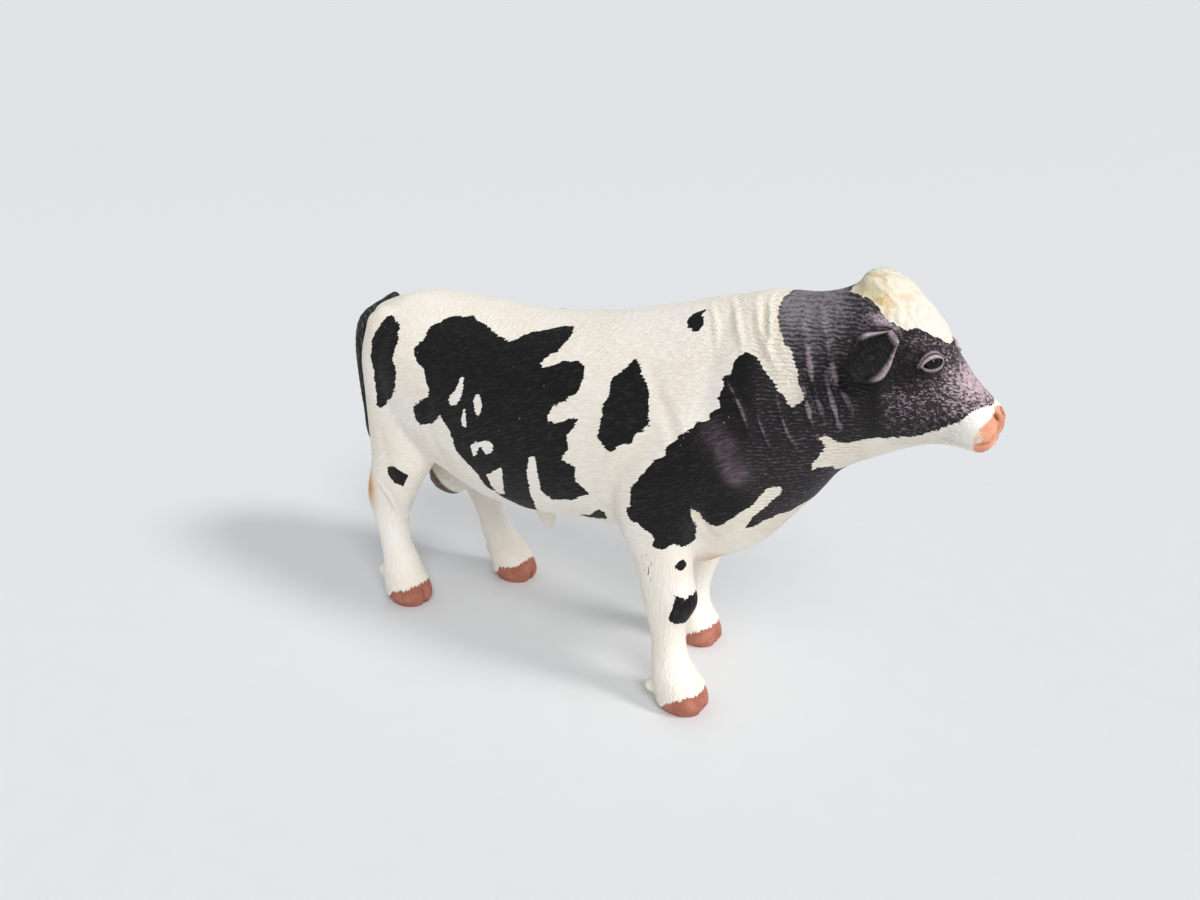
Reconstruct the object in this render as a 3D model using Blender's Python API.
# A standing toy bull, cast in PVC in ten pieces that are glued on locating pegs.
# Metres, +Z up, +X towards the nose, +Y to the bull's left, origin on the ground
# under the middle of the whole figure.

import bmesh
import bpy
import numpy as np
from math import pi, radians, tan
from mathutils import Matrix, Vector

MM = 0.001

# Trunk
WITHERS_HEIGHT = 78.0 * MM
TRUNK_LENGTH = 95.5 * MM
TRUNK_WIDTH = 38.0 * MM

# Neck and head
NECK_LENGTH = 24.0 * MM
NECK_WIDTH = 28.0 * MM
HEAD_LENGTH = 22.8 * MM
HEAD_WIDTH = 17.6 * MM
POLL_TUFT_LENGTH = 11.0 * MM
POLL_TUFT_WIDTH = 11.0 * MM
POLL_TUFT_HEIGHT = 6.0 * MM
BROW_SIZE = 5.4 * MM

# Legs
FORELEG_THICKNESS = 10.0 * MM
HIND_LEG_THICKNESS = 10.0 * MM
CLEFT_WIDTH = 0.7 * MM
CLEFT_HEIGHT = 3.6 * MM
DEWCLAW_SIZE = 2.6 * MM
FORE_DEWCLAW_HEIGHT = 3.3 * MM
HIND_DEWCLAW_HEIGHT = 6.6 * MM
SOLE_OVERRUN = 2.0 * MM

# Tail, ears and underside
TAIL_DROP = 34.0 * MM
TAIL_BACK = 8.2 * MM
TAIL_SIDE_STEP = 5.2 * MM
TAIL_THICKNESS = 3.0 * MM
SWITCH_THICKNESS = 3.8 * MM
EAR_LENGTH = 9.6 * MM
EAR_WIDTH = 7.6 * MM
EAR_THICKNESS = 2.4 * MM
EAR_HOLLOW = 1.2 * MM
SCROTUM_LENGTH = 11.0 * MM
SCROTUM_WIDTH = 8.0 * MM
SCROTUM_HEIGHT = 12.6 * MM
SHEATH_LENGTH = 7.0 * MM
SHEATH_WIDTH = 5.0 * MM
SHEATH_DROP = 8.8 * MM

# Joints between the castings
SEAM_GAP = 0.3 * MM
PEG_CLEARANCE = 0.3 * MM
NECK_PEG_THICKNESS = 11.0 * MM
NECK_PEG_LENGTH = 6.0 * MM
LEG_PEG_THICKNESS = 4.4 * MM
LEG_PEG_LENGTH = 4.5 * MM
SMALL_PEG_THICKNESS = 1.8 * MM
SMALL_PEG_LENGTH = 2.4 * MM
NECK_SEAM_TILT = radians(20.5)
HIND_SEAM_TILT = radians(16.0)
FORE_SEAM_TILT = radians(1.0)

# Surface of the casting
SKIN_GRID = 0.9 * MM
SKIN_KEPT_SHARE = 0.11
SOFTENING_ROUND_COUNT = 5
RING_POINTS = 28

# Where the legs stand, along the trunk and across it
FRONT_RIGHT_HOOF_SHARE = 0.924
FRONT_LEFT_HOOF_SHARE = 0.832
HIND_RIGHT_HOOF_SHARE = 0.165
HIND_LEFT_HOOF_SHARE = 0.301
ELBOW_SHARE = 0.842
STIFLE_SHARE = 0.160
TRACK_SHARE = 0.600

# Trunk rows: place along it, top, bottom, half width, height of the widest point
TRUNK_SHARES = (
    (0.006, 0.795, 0.620, 0.20, 0.50),
    (0.027, 0.838, 0.560, 0.36, 0.50),
    (0.064, 0.871, 0.515, 0.52, 0.50),
    (0.115, 0.897, 0.478, 0.68, 0.50),
    (0.180, 0.906, 0.449, 0.83, 0.48),
    (0.260, 0.904, 0.425, 0.90, 0.46),
    (0.340, 0.900, 0.396, 0.94, 0.45),
    (0.425, 0.896, 0.369, 0.98, 0.44),
    (0.507, 0.897, 0.366, 1.00, 0.44),
    (0.590, 0.904, 0.376, 1.00, 0.44),
    (0.672, 0.918, 0.386, 0.97, 0.45),
    (0.754, 0.938, 0.386, 0.92, 0.46),
    (0.836, 0.960, 0.354, 0.86, 0.48),
    (0.918, 0.986, 0.339, 0.79, 0.50),
    (1.000, 1.005, 0.422, 0.66, 0.50),
)

# Neck rows: place of the top, top, place of the bottom, bottom, half width, widest point
NECK_SHARES = (
    (0.00, 0.980, 0.02, 0.348, 1.00, 0.48),
    (0.28, 1.006, 0.38, 0.412, 1.00, 0.48),
    (0.48, 1.013, 0.62, 0.498, 0.93, 0.48),
    (0.66, 1.014, 0.80, 0.568, 0.84, 0.50),
    (0.84, 1.026, 0.95, 0.635, 0.74, 0.52),
    (1.00, 1.050, 1.10, 0.668, 0.64, 0.54),
)

# Head rows, from the jaw's angle to the nose, in the same order
HEAD_SHARES = (
    (0.02, 1.054, 0.08, 0.664, 1.00, 0.55),
    (0.18, 1.058, 0.22, 0.686, 1.00, 0.58),
    (0.34, 1.036, 0.38, 0.711, 0.97, 0.60),
    (0.50, 0.991, 0.52, 0.730, 0.88, 0.58),
    (0.62, 0.940, 0.62, 0.738, 0.74, 0.54),
    (0.74, 0.892, 0.74, 0.741, 0.66, 0.50),
    (0.84, 0.862, 0.84, 0.738, 0.66, 0.48),
    (0.93, 0.836, 0.93, 0.740, 0.62, 0.46),
    (1.00, 0.810, 0.98, 0.760, 0.44, 0.46),
)

# Foreleg rows: height, blend from hoof to elbow, lean, half length, half width, outward
FORELEG_SHARES = (
    (0.000, 0.00, 0.00, 0.51, 0.46, 0.00),
    (0.032, 0.00, 0.00, 0.52, 0.48, 0.00),
    (0.064, 0.00, -0.09, 0.50, 0.46, 0.00),
    (0.090, 0.05, -0.15, 0.43, 0.41, 0.00),
    (0.115, 0.12, -0.18, 0.37, 0.37, 0.00),
    (0.154, 0.20, -0.17, 0.33, 0.33, 0.00),
    (0.192, 0.30, -0.12, 0.33, 0.33, 0.00),
    (0.231, 0.42, -0.06, 0.37, 0.36, 0.00),
    (0.282, 0.55, 0.02, 0.46, 0.41, 0.00),
    (0.333, 0.70, 0.10, 0.51, 0.43, 0.00),
    (0.385, 0.82, 0.13, 0.58, 0.46, 0.00),
    (0.462, 1.00, 0.13, 0.74, 0.52, 0.05),
    (0.550, 1.00, 0.19, 0.96, 0.58, 0.05),
    (0.650, 1.00, 0.40, 1.10, 0.56, -0.02),
    (0.750, 1.00, 0.56, 0.95, 0.48, -0.14),
    (0.850, 1.00, 0.60, 0.64, 0.34, -0.30),
    (0.900, 1.00, 0.60, 0.28, 0.14, -0.36),
)

# Hind leg rows in the same order, blended from hoof to stifle
HIND_LEG_SHARES = (
    (0.000, 0.00, 0.00, 0.54, 0.46, 0.00),
    (0.032, 0.00, 0.00, 0.56, 0.48, 0.00),
    (0.064, 0.02, -0.08, 0.56, 0.46, 0.00),
    (0.100, 0.08, -0.15, 0.48, 0.42, 0.00),
    (0.130, 0.20, -0.19, 0.42, 0.38, 0.00),
    (0.192, 0.27, -0.33, 0.35, 0.33, 0.00),
    (0.256, 0.40, -0.38, 0.40, 0.36, 0.00),
    (0.320, 0.60, -0.34, 0.59, 0.40, 0.00),
    (0.385, 0.82, -0.11, 0.70, 0.44, 0.00),
    (0.449, 1.00, 0.13, 0.79, 0.52, -0.03),
    (0.540, 1.00, 0.17, 0.86, 0.58, -0.08),
    (0.650, 1.00, 0.07, 0.86, 0.56, -0.12),
    (0.740, 1.00, -0.07, 0.87, 0.51, -0.16),
    (0.820, 1.00, -0.17, 0.68, 0.38, -0.26),
    (0.870, 1.00, -0.22, 0.32, 0.16, -0.34),
)

# Tail rows: drop, backward reach, sideways step, thickness, switch thickness
TAIL_SHARES = (
    (0.00, 0.00, 0.00, 0.85, 0.0),
    (0.07, 0.44, 0.18, 0.95, 0.0),
    (0.14, 0.84, 0.50, 0.97, 0.0),
    (0.22, 0.98, 0.72, 0.97, 0.0),
    (0.37, 1.00, 0.90, 0.90, 0.0),
    (0.60, 0.93, 0.97, 0.82, 0.0),
    (0.76, 0.80, 0.98, 0.40, 0.5),
    (0.90, 0.68, 1.00, 0.00, 1.0),
    (0.97, 0.62, 1.00, 0.00, 0.8),
    (1.00, 0.60, 1.00, 0.00, 0.3),
)

# Ear rows: place along it, half width, thickness
EAR_SHARES = (
    (0.00, 0.30, 1.00),
    (0.15, 0.52, 1.00),
    (0.38, 0.88, 0.90),
    (0.60, 1.00, 0.80),
    (0.82, 0.74, 0.70),
    (1.00, 0.20, 0.50),
)

# Scrotum rows: place down it, half size
SCROTUM_SHARES = (
    (0.00, 0.70),
    (0.25, 0.66),
    (0.50, 0.90),
    (0.72, 1.00),
    (0.90, 0.72),
    (1.00, 0.25),
)

PAINT_WHITE = (0.86, 0.82, 0.74)
PAINT_GREY = (0.12, 0.10, 0.10)
PAINT_BLACK = (0.035, 0.030, 0.030)


def clear_scene():
    for thing in list(bpy.data.objects):
        bpy.data.objects.remove(thing, do_unlink=True)


def paint(name, colour, roughness):
    made = bpy.data.materials.new(name)
    made.use_nodes = True
    shader = made.node_tree.nodes["Principled BSDF"]
    shader.inputs["Base Color"].default_value = (*colour, 1.0)
    shader.inputs["Roughness"].default_value = roughness
    shader.inputs["Metallic"].default_value = 0.0
    return made


def eased(shares, between):
    """The rows of a table with more rows between them, on a curve through each column."""
    rows = np.array(shares)
    padded = np.vstack((2 * rows[0] - rows[1], rows, 2 * rows[-1] - rows[-2]))
    made = []
    for index in range(1, len(padded) - 2):
        before, start, end, after = padded[index - 1 : index + 3]
        for step in range(between):
            t = step / between
            bend = 2 * start + (end - before) * t
            bend = bend + (2 * before - 5 * start + 4 * end - after) * t**2
            bend = bend + (3 * start - before - 3 * end + after) * t**3
            made.append(bend / 2)
    made.append(rows[-1])
    return made


def ring(centre, side, up, half_width, rise, fall, corner=0.92):
    """A rounded outline about a centre, as wide each side, with its own rise and fall."""
    points = []
    for index in range(RING_POINTS):
        turn = 2 * pi * index / RING_POINTS
        across = np.sign(np.cos(turn)) * abs(np.cos(turn)) ** corner
        along = np.sign(np.sin(turn)) * abs(np.sin(turn)) ** corner
        reach = rise if along > 0 else fall
        points.append(centre + side * (across * half_width) + up * (along * reach))
    return points


def add_loft(mesh, rings):
    """Joins a row of rings into one closed tube."""
    loops = [[mesh.verts.new(point) for point in points] for points in rings]
    for low, high in zip(loops, loops[1:]):
        for index in range(len(low)):
            after = (index + 1) % len(low)
            mesh.faces.new((low[index], low[after], high[after], high[index]))
    mesh.faces.new(loops[0])
    mesh.faces.new(loops[-1])


def add_ball(mesh, centre, radii, tilt=0.0):
    place = Matrix.Translation(centre) @ Matrix.Rotation(tilt, 4, "Y")
    place = place @ Matrix.Diagonal((*radii, 1.0))
    bmesh.ops.create_icosphere(mesh, subdivisions=3, radius=1.0, matrix=place)


def to_object(mesh, name):
    """Turns the faces outwards and links the mesh as an object of the figure."""
    bmesh.ops.recalc_face_normals(mesh, faces=mesh.faces)
    data = bpy.data.meshes.new(name)
    mesh.to_mesh(data)
    mesh.free()
    return link(data, name)


def link(data, name):
    made = bpy.data.objects.new(name, data)
    bpy.context.scene.collection.objects.link(made)
    return made


def helper(made):
    made.hide_render = True
    made.display_type = "WIRE"
    return made


def flank_rows(shares, start, length, width):
    """Rings across the body, each between a point on the back and one on the belly."""
    side = Vector((0, 1, 0))
    rings = []
    for row in eased(shares, 3):
        if len(row) == 5:
            row = np.insert(row, 2, row[0])
        top = Vector((start + row[0] * length, 0, row[1] * WITHERS_HEIGHT))
        bottom = Vector((start + row[2] * length, 0, row[3] * WITHERS_HEIGHT))
        up = (top - bottom).normalized()
        depth = (top - bottom).length
        fall = depth * row[5]
        centre = bottom + up * fall
        rings.append(ring(centre, side, up, row[4] * width / 2, depth - fall, fall))
    return rings


def leg_rows(shares, side_sign, track, hoof_place, top_place, thickness):
    """Rings up a leg, from below the sole to inside the shoulder or hip."""
    rings = []
    forward = Vector((1, 0, 0))
    side = Vector((0, 1, 0))
    rows = eased(shares, 3)
    for height, blend, lean, length, width, outward in rows:
        x = hoof_place * (1 - blend) + top_place * blend + lean * thickness
        y = side_sign * (track / 2 + outward * thickness)
        centre = Vector((x, y, height * WITHERS_HEIGHT))
        long = length * thickness
        rings.append(ring(centre, side, forward, width * thickness, long, long))
    sole = [point - Vector((0, 0, SOLE_OVERRUN)) for point in rings[0]]
    return [sole] + rings


def add_dewclaws(mesh, side_sign, hoof_place, height, reach):
    for inward in (-1, 1):
        y = side_sign * TRACK / 2 + inward * DEWCLAW_SIZE * 0.75
        centre = Vector((hoof_place - reach, y, height))
        add_ball(mesh, centre, (DEWCLAW_SIZE * 0.55, DEWCLAW_SIZE * 0.42, DEWCLAW_SIZE * 0.6))


FORE_LEGS = (
    ("front_right_leg", -1, TRUNK_LENGTH * FRONT_RIGHT_HOOF_SHARE),
    ("front_left_leg", 1, TRUNK_LENGTH * FRONT_LEFT_HOOF_SHARE),
)
HIND_LEGS = (
    ("hind_right_leg", -1, TRUNK_LENGTH * HIND_RIGHT_HOOF_SHARE),
    ("hind_left_leg", 1, TRUNK_LENGTH * HIND_LEFT_HOOF_SHARE),
)

TRACK = TRUNK_WIDTH * TRACK_SHARE
ELBOW_PLACE = TRUNK_LENGTH * ELBOW_SHARE
STIFLE_PLACE = TRUNK_LENGTH * STIFLE_SHARE

NECK_START = TRUNK_LENGTH * 0.92
HEAD_START = NECK_START + NECK_LENGTH
NOSE_END = HEAD_START + HEAD_LENGTH
FORE_SEAM_HEIGHT = WITHERS_HEIGHT * 0.325
HIND_SEAM_HEIGHT = WITHERS_HEIGHT * 0.40
REACH = TRUNK_LENGTH + NECK_LENGTH + HEAD_LENGTH + WITHERS_HEIGHT


def head_point(along_share, side_share, height_share):
    """A point of the head, as shares of its length, half width and height."""
    x = HEAD_START + along_share * HEAD_LENGTH
    y = side_share * HEAD_WIDTH / 2
    return Vector((x, y, height_share * WITHERS_HEIGHT))


def add_sheath(mesh):
    """The small cone under the belly, leaning forward."""
    side = Vector((0, 1, 0))
    forward = Vector((1, 0, 0))
    rings = []
    for drop_share, size_share in ((0.0, 1.0), (0.4, 0.86), (0.75, 0.56), (1.0, 0.2)):
        x = TRUNK_LENGTH * 0.483 + drop_share * SHEATH_LENGTH * 0.34
        z = WITHERS_HEIGHT * 0.395 - drop_share * SHEATH_DROP
        half = size_share * SHEATH_LENGTH / 2
        width = size_share * SHEATH_WIDTH / 2
        rings.append(ring(Vector((x, 0, z)), side, forward, width, half, half))
    add_loft(mesh, rings)


def make_skin():
    """The whole cast figure as one body, before it is parted at its joint lines."""
    mesh = bmesh.new()
    add_loft(mesh, flank_rows(TRUNK_SHARES, 0.0, TRUNK_LENGTH, TRUNK_WIDTH))
    add_loft(mesh, flank_rows(NECK_SHARES, NECK_START, NECK_LENGTH, NECK_WIDTH))
    add_loft(mesh, flank_rows(HEAD_SHARES, HEAD_START, HEAD_LENGTH, HEAD_WIDTH))
    tuft = (POLL_TUFT_LENGTH / 2, POLL_TUFT_WIDTH / 2, POLL_TUFT_HEIGHT / 2)
    add_ball(mesh, head_point(0.19, 0, 1.027), tuft, radians(30))
    for side_sign in (-1, 1):
        brow = Vector((BROW_SIZE * 0.62, BROW_SIZE * 0.30, BROW_SIZE * 0.42))
        add_ball(mesh, head_point(0.50, side_sign * 0.66, 0.918), brow, radians(20))
    for _, side_sign, hoof_place in FORE_LEGS:
        args = (side_sign, TRACK, hoof_place, ELBOW_PLACE, FORELEG_THICKNESS)
        add_loft(mesh, leg_rows(FORELEG_SHARES, *args))
        reach = FORELEG_THICKNESS * 0.60
        add_dewclaws(mesh, side_sign, hoof_place, FORE_DEWCLAW_HEIGHT, reach)
    for _, side_sign, hoof_place in HIND_LEGS:
        args = (side_sign, TRACK, hoof_place, STIFLE_PLACE, HIND_LEG_THICKNESS)
        add_loft(mesh, leg_rows(HIND_LEG_SHARES, *args))
        reach = HIND_LEG_THICKNESS * 0.61
        add_dewclaws(mesh, side_sign, hoof_place, HIND_DEWCLAW_HEIGHT, reach)
    add_sheath(mesh)
    form = helper(to_object(mesh, "skin_form"))
    return soften(form, SOFTENING_ROUND_COUNT, SKIN_KEPT_SHARE)


def soften(form, rounds, kept_share):
    """Melts overlapping forms into one skin, and keeps a share of its faces."""
    melt = form.modifiers.new("melt", "REMESH")
    melt.mode = "VOXEL"
    melt.voxel_size = SKIN_GRID
    smooth = form.modifiers.new("smooth", "SMOOTH")
    smooth.factor = 0.5
    smooth.iterations = rounds
    thin = form.modifiers.new("thin", "DECIMATE")
    thin.ratio = kept_share
    graph = bpy.context.evaluated_depsgraph_get()
    data = bpy.data.meshes.new_from_object(form.evaluated_get(graph))
    bpy.data.objects.remove(form, do_unlink=True)
    return data


def block(name, low, high, place=(0, 0, 0), tilt=0.0):
    """A cutting block between two corners, turned about a point on its joint line."""
    mesh = bmesh.new()
    bmesh.ops.create_cube(mesh, size=1.0)
    low = Vector(low)
    high = Vector(high)
    turn = Matrix.Translation(place) @ Matrix.Rotation(tilt, 4, "Y")
    size = Matrix.Diagonal((*(high - low), 1.0))
    turn = turn @ Matrix.Translation((low + high) / 2) @ size
    bmesh.ops.transform(mesh, matrix=turn, verts=mesh.verts)
    return helper(to_object(mesh, name))


def wedge(name, ends, sides, seam, tilt, drop):
    """A cutting block under a tilted joint line, with upright ends."""
    mesh = bmesh.new()
    corners = []
    for x in ends:
        top = seam.z - (x - seam.x) * tan(tilt) + drop
        for y in sides:
            corners.append((mesh.verts.new((x, y, top)), mesh.verts.new((x, y, -REACH))))
    order = (0, 1, 3, 2)
    mesh.faces.new([corners[index][0] for index in order])
    mesh.faces.new([corners[index][1] for index in order])
    for index, after in zip(order, order[1:] + order[:1]):
        mesh.faces.new((*corners[index], corners[after][1], corners[after][0]))
    return helper(to_object(mesh, name))


def peg(name, root, direction, thickness, length, grown=0.0):
    """A tapered peg from a joint face, or with a clearance added, its socket."""
    mesh = bmesh.new()
    lead = length * 0.3
    deep = length + lead + grown * 2
    wide = thickness / 2 + grown
    turn = Vector(direction).to_track_quat("Z", "Y").to_matrix().to_4x4()
    middle = Vector(root) + Vector(direction).normalized() * (deep / 2 - lead - grown)
    place = Matrix.Translation(middle) @ turn
    bmesh.ops.create_cone(
        mesh,
        cap_ends=True,
        segments=20,
        radius1=wide,
        radius2=wide * 0.86,
        depth=deep,
        matrix=place,
    )
    return helper(to_object(mesh, name))


def combine(piece, other, operation):
    cut = piece.modifiers.new(other.name, "BOOLEAN")
    cut.operation = operation
    cut.object = other


def cast(name, data, colour, roughness):
    made = link(data.copy(), name)
    made.data.materials.clear()
    made.data.materials.append(paint(name + "_paint", colour, roughness))
    made.data.shade_smooth()
    return made


def seat(piece, carrier, root, direction, thickness, length):
    """A peg on one casting and its socket in the one that carries it."""
    name = piece.name
    combine(piece, peg(name + "_peg", root, direction, thickness, length), "UNION")
    socket = peg(name + "_socket", root, direction, thickness, length, PEG_CLEARANCE)
    combine(carrier, socket, "DIFFERENCE")


def make_torso(skin):
    return cast("torso", skin, PAINT_WHITE, 0.5)


def make_head_and_neck(skin, torso):
    piece = cast("head_and_neck", skin, PAINT_GREY, 0.5)
    middle = Vector((NECK_START + NECK_LENGTH * 0.62, 0, WITHERS_HEIGHT * 0.85))
    half_gap = SEAM_GAP / 2
    low = (half_gap, -REACH, -REACH)
    far = (REACH, REACH, REACH)
    ahead = block("neck_part", low, far, middle, NECK_SEAM_TILT * -1)
    combine(piece, ahead, "INTERSECT")
    low = (-half_gap, -REACH, -REACH)
    behind = block("neck_cut", low, far, middle, NECK_SEAM_TILT * -1)
    combine(torso, behind, "DIFFERENCE")
    back = Matrix.Rotation(NECK_SEAM_TILT * -1, 3, "Y") @ Vector((-1, 0, 0))
    root = middle - back * half_gap
    seat(piece, torso, root, back, NECK_PEG_THICKNESS, NECK_PEG_LENGTH)
    return piece


def make_leg(skin, torso, ground, leg, seam, tilt, ends, thickness):
    """One leg below its joint line, with its peg, flat sole and cleft hoof."""
    name, side_sign, hoof_place = leg
    piece = cast(name, skin, PAINT_WHITE, 0.45)
    half_gap = SEAM_GAP / 2
    sides = (0, REACH) if side_sign > 0 else (-REACH, 0)
    combine(piece, wedge(name + "_part", ends, sides, seam, tilt, -half_gap), "INTERSECT")
    combine(piece, ground, "DIFFERENCE")
    toe = hoof_place + thickness * 0.16
    middle = side_sign * TRACK / 2
    low = (toe, middle - CLEFT_WIDTH / 2, -SOLE_OVERRUN)
    high = (toe + thickness, middle + CLEFT_WIDTH / 2, CLEFT_HEIGHT)
    combine(piece, block(name + "_cleft", low, high), "DIFFERENCE")
    root = Vector((seam.x, middle, seam.z - half_gap))
    seat(piece, torso, root, Vector((0, 0, 1)), LEG_PEG_THICKNESS, LEG_PEG_LENGTH)
    return piece


def make_leg_pair(skin, torso, ground, legs, seam, tilt, ends, thickness):
    """Takes a pair of legs off the trunk at their joint line, and makes each."""
    cut = wedge(legs[0][0] + "_pair", ends, (-REACH, REACH), seam, tilt, SEAM_GAP / 2)
    combine(torso, cut, "DIFFERENCE")
    for leg in legs:
        make_leg(skin, torso, ground, leg, seam, tilt, ends, thickness)


def make_legs(skin, torso):
    low = (-REACH, -REACH, -REACH)
    ground = block("ground", low, (REACH, REACH, 0))
    thickness = FORELEG_THICKNESS
    seam = Vector((ELBOW_PLACE + thickness * 0.1, 0, FORE_SEAM_HEIGHT))
    ends = (FORE_LEGS[1][2] - thickness * 1.4, REACH)
    make_leg_pair(skin, torso, ground, FORE_LEGS, seam, FORE_SEAM_TILT, ends, thickness)
    thickness = HIND_LEG_THICKNESS
    seam = Vector((STIFLE_PLACE - thickness * 0.15, 0, HIND_SEAM_HEIGHT))
    ends = (-REACH, HIND_LEGS[1][2] + thickness)
    make_leg_pair(skin, torso, ground, HIND_LEGS, seam, HIND_SEAM_TILT, ends, thickness)


def tail_form(name, grown):
    """The tail, from its root on the rump, down beside the thigh to the switch."""
    root = Vector((TRUNK_LENGTH * 0.075, 0, WITHERS_HEIGHT * 0.877))
    points = []
    sizes = []
    for drop, back, step, cord, switch in eased(TAIL_SHARES, 3):
        place = (-back * TAIL_BACK, -step * TAIL_SIDE_STEP, -drop * TAIL_DROP)
        points.append(root + Vector(place))
        sizes.append((cord * TAIL_THICKNESS + switch * SWITCH_THICKNESS) / 2 + grown)
    rings = []
    for index, point in enumerate(points):
        ahead = points[min(index + 1, len(points) - 1)]
        run = (ahead - points[max(index - 1, 0)]).normalized()
        side = Vector((0, 1, 0)).cross(run).normalized()
        up = run.cross(side)
        size = sizes[index]
        rings.append(ring(point, side, up, size, size, size, 1.0)[::2])
    start = (points[0] - points[1]).normalized() * grown
    end = (points[-1] - points[-2]).normalized() * grown
    rings[0] = [point + start for point in rings[0]]
    rings[-1] = [point + end for point in rings[-1]]
    mesh = bmesh.new()
    add_loft(mesh, rings)
    return to_object(mesh, name), points


def make_tail(torso):
    piece, points = tail_form("tail", 0.0)
    piece.data.materials.append(paint("tail_paint", PAINT_BLACK, 0.5))
    piece.data.shade_smooth()
    groove = helper(tail_form("tail_groove", SEAM_GAP)[0])
    combine(torso, groove, "DIFFERENCE")
    into = Vector((0.35, 0, -1)).normalized()
    root = points[1] + into * TAIL_THICKNESS * 0.45
    seat(piece, torso, root, into, SMALL_PEG_THICKNESS, SMALL_PEG_LENGTH)


def ear_axes(side_sign):
    """Unit vectors along the ear, out of its hollow and across its width."""
    along = Vector((-0.36, 0.78 * side_sign, -0.50)).normalized()
    out = Vector((0.72, 0.45 * side_sign, 0.30))
    out = (out - along * out.dot(along)).normalized()
    return along, out, along.cross(out)


def ear_form(name, side_sign, grown):
    along, out, across = ear_axes(side_sign)
    root = head_point(0.318, side_sign * 0.87, 0.964)
    rings = []
    for place, width, thickness in eased(EAR_SHARES, 3):
        centre = root + along * (place * (EAR_LENGTH + grown) - grown / 2)
        half = width * EAR_WIDTH / 2 + grown
        thick = thickness * EAR_THICKNESS / 2 + grown
        rings.append(ring(centre, across, out, half, thick, thick, 1.0)[::2])
    mesh = bmesh.new()
    add_loft(mesh, rings)
    return to_object(mesh, name), root


def make_ear(head, name, side_sign):
    along, out, across = ear_axes(side_sign)
    piece, root = ear_form(name, side_sign, 0.0)
    piece.data.materials.append(paint(name + "_paint", PAINT_BLACK, 0.5))
    piece.data.shade_smooth()
    mesh = bmesh.new()
    axes = Matrix((along, across, out)).transposed().to_4x4()
    depth = Vector((EAR_LENGTH * 0.36, EAR_WIDTH * 0.34, EAR_HOLLOW))
    centre = root + along * EAR_LENGTH * 0.48 + out * EAR_THICKNESS / 2
    place = Matrix.Translation(centre) @ axes @ Matrix.Diagonal((*depth, 1.0))
    bmesh.ops.create_icosphere(mesh, subdivisions=2, radius=1.0, matrix=place)
    combine(piece, helper(to_object(mesh, name + "_hollow")), "DIFFERENCE")
    bed = helper(ear_form(name + "_bed", side_sign, SEAM_GAP)[0])
    combine(head, bed, "DIFFERENCE")
    into = Vector((-0.1, -side_sign, -0.1)).normalized()
    start = root + into * EAR_THICKNESS * 0.3
    seat(piece, head, start, into, SMALL_PEG_THICKNESS, SMALL_PEG_LENGTH)


def scrotum_form(name, grown):
    top = Vector((TRUNK_LENGTH * 0.205, 0, WITHERS_HEIGHT * 0.47))
    side = Vector((0, 1, 0))
    forward = Vector((1, 0, 0))
    rings = []
    for drop, size in eased(SCROTUM_SHARES, 3):
        rise = grown - drop * (SCROTUM_HEIGHT + grown * 2)
        centre = top + Vector((drop * SCROTUM_LENGTH * 0.06, 0, rise))
        width = size * SCROTUM_WIDTH / 2 + grown
        length = size * SCROTUM_LENGTH / 2 + grown
        rings.append(ring(centre, side, forward, width, length, length)[::2])
    mesh = bmesh.new()
    add_loft(mesh, rings)
    return to_object(mesh, name), top


def make_scrotum(torso):
    piece, top = scrotum_form("scrotum", 0.0)
    piece.data.materials.append(paint("scrotum_paint", PAINT_WHITE, 0.5))
    piece.data.shade_smooth()
    combine(torso, helper(scrotum_form("scrotum_bed", SEAM_GAP)[0]), "DIFFERENCE")
    up = Vector((0, 0, 1))
    seat(piece, torso, top, up, SMALL_PEG_THICKNESS, SMALL_PEG_LENGTH)


def centre_on_ground():
    """Puts the origin under the middle of the figure, by one parent for every piece."""
    graph = bpy.context.evaluated_depsgraph_get()
    corners = []
    for made in bpy.context.scene.objects:
        if made.hide_render:
            continue
        done = made.evaluated_get(graph)
        corners += [done.matrix_world @ Vector(corner) for corner in done.bound_box]
    low = Vector(map(min, zip(*corners)))
    high = Vector(map(max, zip(*corners)))
    figure = bpy.data.objects.new("figure", None)
    bpy.context.scene.collection.objects.link(figure)
    for made in list(bpy.context.scene.objects):
        if made is not figure:
            made.parent = figure
    middle = (low + high) / 2
    figure.location = (-middle.x, -middle.y, -low.z)


def main():
    clear_scene()
    skin = make_skin()
    torso = make_torso(skin)
    head = make_head_and_neck(skin, torso)
    make_legs(skin, torso)
    make_tail(torso)
    make_ear(head, "right_ear", -1)
    make_ear(head, "left_ear", 1)
    make_scrotum(torso)
    bpy.data.meshes.remove(skin)
    centre_on_ground()


main()
